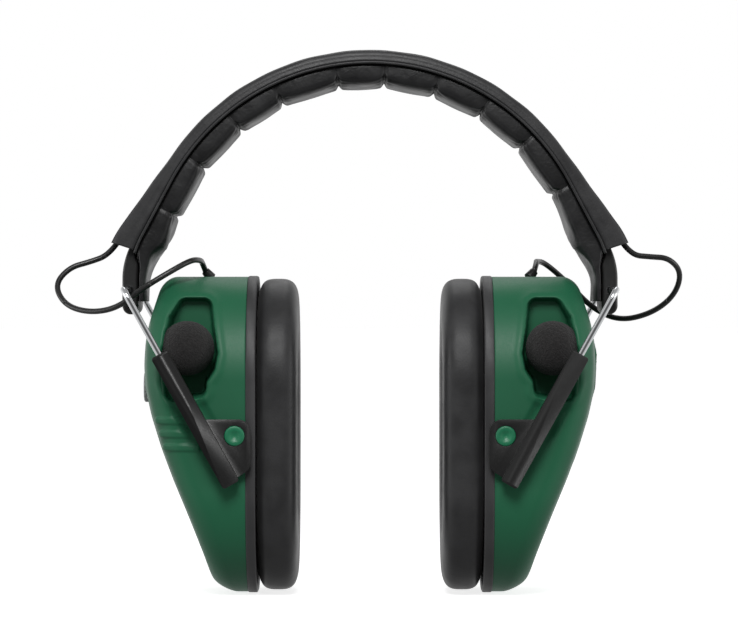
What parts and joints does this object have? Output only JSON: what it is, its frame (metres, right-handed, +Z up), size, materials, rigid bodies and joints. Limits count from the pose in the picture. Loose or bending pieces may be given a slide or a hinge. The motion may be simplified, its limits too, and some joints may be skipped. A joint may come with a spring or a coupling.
{
  "type": "earmuff hearing protector",
  "caption": "Electronic earmuff hearing protector with a padded spring headband, sliding wire yokes, tilting cups, foam-covered microphones and a link cable.",
  "frame": {"origin": "underside of the head pad at the crown, where it rests on the head", "axes": "+Z up, +Y to the wearer's back, +X to the side that carries the battery door"},
  "size_m": [0.2215, 0.0948, 0.1896],
  "materials": {
    "shell_green": "satin",
    "black_nylon": "matte",
    "black_vinyl": "satin",
    "grey_foam": "matte",
    "windscreen_foam": "matte",
    "sprung_wire": "polished",
    "cable_rubber": "satin",
    "screw_steel": "bright",
    "board": "gloss",
    "painted_steel": "satin",
    "capsule_aluminium": "satin",
    "cell_jacket": "satin",
    "contact_brass": "bright"
  },
  "bodies": {
    "headband": {"band_core": "black_nylon", "band_jacket": "black_vinyl", "head_pad_cover": "black_vinyl", "head_pad_foam": "grey_foam", "cable_in_band": "cable_rubber", "cable_loop_left": "cable_rubber", "cable_loop_right": "cable_rubber"},
    "yoke_left": {"wire_yoke_left": "sprung_wire"},
    "arms_left": {"arm_front_left": "black_nylon", "arm_rear_left": "black_nylon"},
    "cup_left": {"cup_shell_left": "shell_green", "seal_plate_left": "black_nylon", "ear_cushion_left": "black_vinyl", "cushion_foam_left": "grey_foam", "acoustic_foam_left": "grey_foam", "speaker_baffle_left": "black_nylon", "speaker_left": "painted_steel", "cup_screws_left": "screw_steel", "mic_capsule_left": "capsule_aluminium", "mic_windscreen_left": "windscreen_foam", "cable_gland_left": "cable_rubber", "potentiometer": "painted_steel", "audio_socket": "black_nylon", "circuit_board": "board"},
    "yoke_right": {"wire_yoke_right": "sprung_wire"},
    "arms_right": {"arm_front_right": "black_nylon", "arm_rear_right": "black_nylon"},
    "cup_right": {"cup_shell_right": "shell_green", "seal_plate_right": "black_nylon", "ear_cushion_right": "black_vinyl", "cushion_foam_right": "grey_foam", "acoustic_foam_right": "grey_foam", "speaker_baffle_right": "black_nylon", "speaker_right": "painted_steel", "cup_screws_right": "screw_steel", "mic_capsule_right": "capsule_aluminium", "mic_windscreen_right": "windscreen_foam", "cable_gland_right": "cable_rubber", "battery_tray": "black_nylon", "battery_contacts": "contact_brass", "battery_cells": "cell_jacket"},
    "knob": {"volume_knob": "black_nylon"},
    "door": {"battery_door": "shell_green"}
  },
  "joints": [
    {"name": "fold_left", "type": "hinge", "parent": "headband", "child": "yoke_left", "pos_m": [-0.08403, 0, -0.07206], "axis": [0, -1, 0], "range_deg": [0, 30], "deforming": ["cable_loop_left"]},
    {"name": "height_left", "type": "slide", "parent": "yoke_left", "child": "arms_left", "axis": [-0.4848, 0, 0.8746], "range_m": [-0.022, 0], "deforming": ["cable_loop_left"]},
    {"name": "tilt_left", "type": "hinge", "parent": "arms_left", "child": "cup_left", "pos_m": [-0.0462, 0, -0.122], "axis": [0, 1, 0], "range_deg": [-4, 30], "deforming": ["cable_loop_left"]},
    {"name": "fold_right", "type": "hinge", "parent": "headband", "child": "yoke_right", "pos_m": [0.08403, 0, -0.07206], "axis": [0, 1, 0], "range_deg": [0, 30], "deforming": ["cable_loop_right"]},
    {"name": "height_right", "type": "slide", "parent": "yoke_right", "child": "arms_right", "axis": [0.4848, 0, 0.8746], "range_m": [-0.022, 0], "deforming": ["cable_loop_right"]},
    {"name": "tilt_right", "type": "hinge", "parent": "arms_right", "child": "cup_right", "pos_m": [0.0462, 0, -0.122], "axis": [0, -1, 0], "range_deg": [-4, 30], "deforming": ["cable_loop_right"]},
    {"name": "volume_turn", "type": "hinge", "parent": "cup_left", "child": "knob", "pos_m": [-0.076, 0, -0.106], "axis": [-1, 0, 0], "range_deg": [0, 270]},
    {"name": "battery_door_open", "type": "hinge", "parent": "cup_right", "child": "door", "pos_m": [0.06632, 0, -0.139], "axis": [0, 1, 0], "range_deg": [0, 90]}
  ]
}
